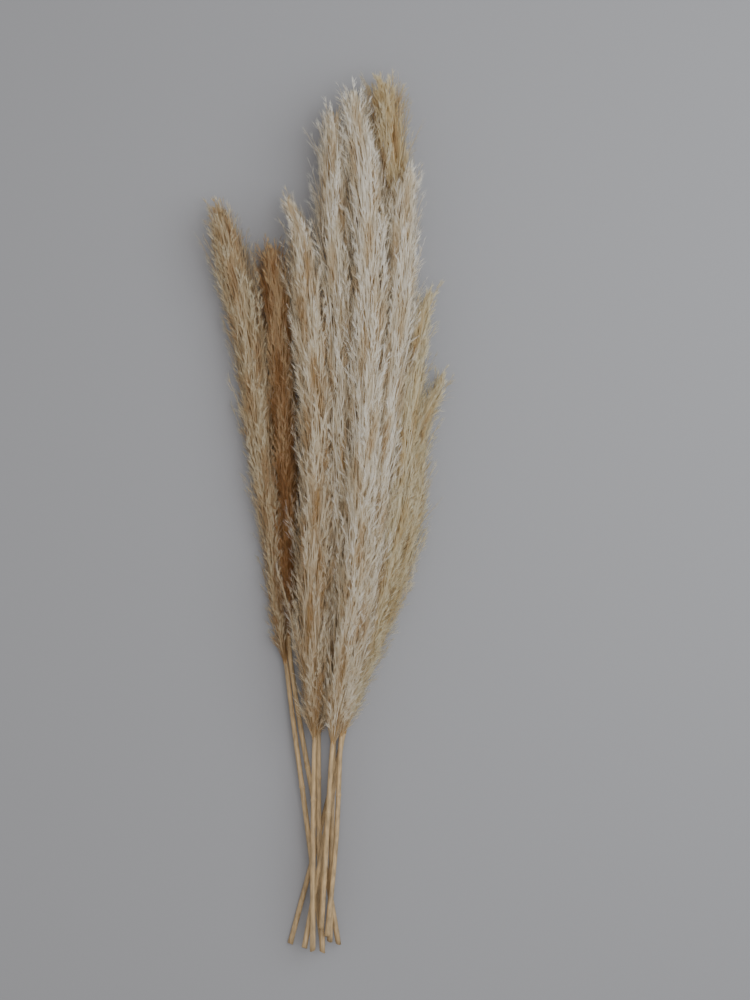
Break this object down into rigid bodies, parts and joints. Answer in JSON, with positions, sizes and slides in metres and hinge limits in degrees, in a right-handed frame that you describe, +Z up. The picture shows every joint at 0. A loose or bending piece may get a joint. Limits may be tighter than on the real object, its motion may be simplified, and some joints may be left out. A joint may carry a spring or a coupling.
{
  "type": "bundle of pampas grass",
  "caption": "Loose bundle of dried pampas grass plumes, cream to golden, on bare reed stems, lying flat for a vase, a wreath or a shelf.",
  "frame": {"origin": "on the surface that the bundle lies on, under the middle of its box", "axes": "+Y along the bundle towards the plume tips, +Z up from the surface, +X to the right as seen from above"},
  "size_m": [0.2517, 0.8822, 0.0819],
  "materials": {
    "cream_plume": "silky dried hairs, pale cream",
    "golden_plume": "silky dried hairs, golden beige",
    "tan_plume": "silky dried hairs, tan",
    "shaded_plume": "silky dried hairs, dark tan",
    "reed_stem": "matt dried reed with long fibres"
  },
  "bodies": {
    "root": {"stem_left": "reed_stem", "head_left": "tan_plume", "stem_left_back": "reed_stem", "head_left_back": "shaded_plume", "stem_front_left": "reed_stem", "head_front_left": "cream_plume", "stem_front_middle": "reed_stem", "head_front_middle": "cream_plume", "stem_front_tall": "reed_stem", "head_front_tall": "cream_plume", "stem_back_tall": "reed_stem", "head_back_tall": "golden_plume", "stem_front_right": "reed_stem", "head_front_right": "cream_plume", "stem_right_back": "reed_stem", "head_right_back": "golden_plume", "stem_right_low": "reed_stem", "head_right_low": "golden_plume"}
  },
  "joints": []
}
